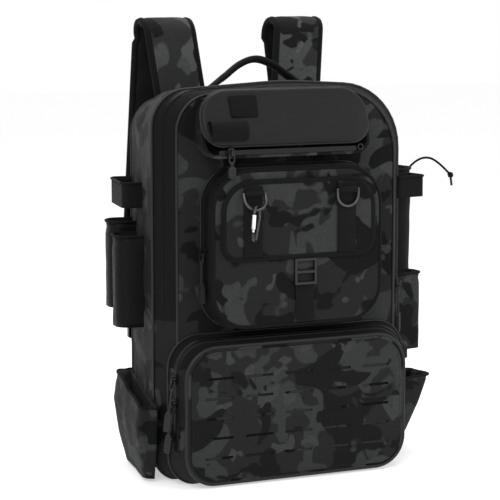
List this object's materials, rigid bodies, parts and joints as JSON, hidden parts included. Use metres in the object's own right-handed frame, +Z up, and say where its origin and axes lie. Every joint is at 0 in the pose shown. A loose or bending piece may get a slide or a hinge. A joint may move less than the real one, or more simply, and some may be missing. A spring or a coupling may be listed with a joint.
{
  "type": "tackle backpack",
  "caption": "Fishing tackle backpack with a moulded case, front pockets with zips, a slotted sheet, rod sleeves, straps and a carabiner.",
  "frame": {"origin": "on the floor, midway between the bag's two sides", "axes": "+Z up, +Y towards the wearer, +X to the right seen from the front"},
  "size_m": [0.489, 0.282, 0.575],
  "materials": {
    "camo_fabric": "matte",
    "black_webbing": "matte",
    "pad_mesh": "matte",
    "black_cord": "satin",
    "moulded_black": "satin",
    "buckle_plastic": "satin",
    "laminate": "matte",
    "zip_coil": "satin",
    "zip_metal": "satin",
    "pull_rubber": "satin",
    "ring_steel": "satin",
    "link_steel": "polished"
  },
  "bodies": {
    "bag": {"rear_compartment": "camo_fabric", "front_gusset": "camo_fabric", "front_panel": "camo_fabric", "back_sheet": "moulded_black", "back_pad_left": "pad_mesh", "back_pad_right": "pad_mesh", "lumbar_pad": "pad_mesh", "shoulder_strap_left": "camo_fabric", "shoulder_strap_right": "camo_fabric", "carry_handle": "black_webbing", "case_base": "moulded_black", "mid_gusset": "camo_fabric", "bottom_gusset": "camo_fabric", "front_zip_track": "zip_coil", "mid_zip_track": "zip_coil", "bottom_zip_track": "zip_coil", "case_zip_track": "zip_coil", "rod_strap_left": "black_webbing", "rod_sleeve_left_front": "black_webbing", "rod_sleeve_left_rear": "black_webbing", "rod_pocket_left": "camo_fabric", "rod_strap_right": "black_webbing", "rod_sleeve_right": "camo_fabric", "rod_pocket_right": "camo_fabric", "bottle_pocket": "black_webbing", "strap_adjuster_left": "buckle_plastic", "strap_webbing_left": "black_webbing", "strap_adjuster_right": "buckle_plastic", "strap_webbing_right": "black_webbing", "cord_eyelet": "buckle_plastic", "bottle_drawcord": "black_cord", "cord_knot": "black_cord"},
    "lid": {"case_lid": "moulded_black", "tool_sleeve": "camo_fabric", "tool_sleeve_flap": "black_webbing"},
    "mid_cover": {"mid_panel": "camo_fabric", "compression_strap": "black_webbing"},
    "flap": {"front_flap": "camo_fabric", "flap_webbing_left": "black_webbing", "flap_webbing_right": "black_webbing", "strap_frame": "buckle_plastic"},
    "bottom_cover": {"bottom_panel": "camo_fabric", "molle_sheet": "laminate"},
    "ring_left": {"d_ring_left": "ring_steel"},
    "ring_right": {"d_ring_right": "ring_steel"},
    "carabiner": {"carabiner_body": "link_steel"},
    "gate": {"carabiner_gate": "link_steel"},
    "gate_lock": {"gate_sleeve": "link_steel"},
    "bottom_zip_upper_slider": {"bottom_zip_upper_slider": "zip_metal"},
    "bottom_zip_upper_pull": {"bottom_zip_upper_pull": "pull_rubber"},
    "bottom_zip_lower_slider": {"bottom_zip_lower_slider": "zip_metal"},
    "bottom_zip_lower_pull": {"bottom_zip_lower_pull": "pull_rubber"},
    "mid_zip_slider": {"mid_zip_slider": "zip_metal"},
    "mid_zip_pull": {"mid_zip_pull": "pull_rubber"},
    "front_zip_slider": {"front_zip_slider": "zip_metal"},
    "front_zip_pull": {"front_zip_pull": "pull_rubber"},
    "case_zip_slider": {"case_zip_slider": "zip_metal"},
    "case_zip_pull": {"case_zip_pull": "pull_rubber"}
  },
  "joints": [
    {"name": "lid_hinge", "type": "hinge", "parent": "bag", "child": "lid", "pos_m": [-0.013, -0.09438, 0.48913], "axis": [-1, 0, 0], "range_deg": [0, 65]},
    {"name": "mid_cover_hinge", "type": "hinge", "parent": "bag", "child": "mid_cover", "pos_m": [0, -0.116, 0.1985], "axis": [1, 0, 0], "range_deg": [0, 60]},
    {"name": "flap_hinge", "type": "hinge", "parent": "mid_cover", "child": "flap", "pos_m": [0, -0.1223, 0.381], "axis": [-1, 0, 0], "range_deg": [0, 90]},
    {"name": "bottom_cover_hinge", "type": "hinge", "parent": "bag", "child": "bottom_cover", "pos_m": [0, -0.116, 0.0045], "axis": [1, 0, 0], "range_deg": [0, 50]},
    {"name": "ring_left_hinge", "type": "hinge", "parent": "flap", "child": "ring_left", "pos_m": [-0.064, -0.12935, 0.365], "axis": [-1, 0, 0], "range_deg": [0, 80]},
    {"name": "ring_right_hinge", "type": "hinge", "parent": "flap", "child": "ring_right", "pos_m": [0.064, -0.12935, 0.365], "axis": [-1, 0, 0], "range_deg": [0, 100]},
    {"name": "carabiner_swing", "type": "hinge", "parent": "ring_left", "child": "carabiner", "pos_m": [-0.062, -0.13783, 0.34594], "axis": [-0.7431, 0.6691, 0], "range_deg": [-21, 8]},
    {"name": "gate_hinge", "type": "hinge", "parent": "carabiner", "child": "gate", "pos_m": [-0.07532, -0.15084, 0.31904], "axis": [-0.7431, 0.6691, 0], "range_deg": [0, 25], "stiffness_Nm_per_rad": 0.02, "springref_deg": -5.73},
    {"name": "gate_lock_slide", "type": "slide", "parent": "gate", "child": "gate_lock", "axis": [-0.1471, -0.1634, -0.9755], "range_m": [0, 0.0035]},
    {"name": "bottom_zip_upper_slide", "type": "slide", "parent": "bag", "child": "bottom_zip_upper_slider", "axis": [0, 0, 1], "range_m": [-0.006, 0]},
    {"name": "bottom_zip_upper_pull_hinge", "type": "hinge", "parent": "bottom_zip_upper_slider", "child": "bottom_zip_upper_pull", "pos_m": [-0.16275, -0.10585, 0.13555], "axis": [-0.4514, 0.8923, 0], "range_deg": [0, 64]},
    {"name": "bottom_zip_lower_slide", "type": "slide", "parent": "bag", "child": "bottom_zip_lower_slider", "axis": [0, 0, 1], "range_m": [-0.035, 0.005]},
    {"name": "bottom_zip_lower_pull_hinge", "type": "hinge", "parent": "bottom_zip_lower_slider", "child": "bottom_zip_lower_pull", "pos_m": [-0.16275, -0.10585, 0.10555], "axis": [-0.4458, 0.8813, 0.1564], "range_deg": [0, 12]},
    {"name": "mid_zip_slide", "type": "slide", "parent": "bag", "child": "mid_zip_slider", "axis": [0, 0, 1], "range_m": [-0.04, 0.045]},
    {"name": "mid_zip_pull_hinge", "type": "hinge", "parent": "mid_zip_slider", "child": "mid_zip_pull", "pos_m": [-0.1234, -0.10441, 0.29155], "axis": [-0.191, 0.9816, 0], "range_deg": [0, 75]},
    {"name": "front_zip_slide", "type": "slide", "parent": "bag", "child": "front_zip_slider", "axis": [0, 0, 1], "range_m": [-0.01, 0.13]},
    {"name": "front_zip_pull_hinge", "type": "hinge", "parent": "front_zip_slider", "child": "front_zip_pull", "pos_m": [0.16633, -0.07492, 0.23055], "axis": [-0.6402, -0.7682, 0], "range_deg": [0, 75]},
    {"name": "case_zip_slide", "type": "slide", "parent": "bag", "child": "case_zip_slider", "axis": [1, 0, 0], "range_m": [0, 0.165]},
    {"name": "case_zip_pull_hinge", "type": "hinge", "parent": "case_zip_slider", "child": "case_zip_pull", "pos_m": [-0.092, -0.1251, 0.41355], "axis": [-1, 0, 0], "range_deg": [0, 75]}
  ]
}
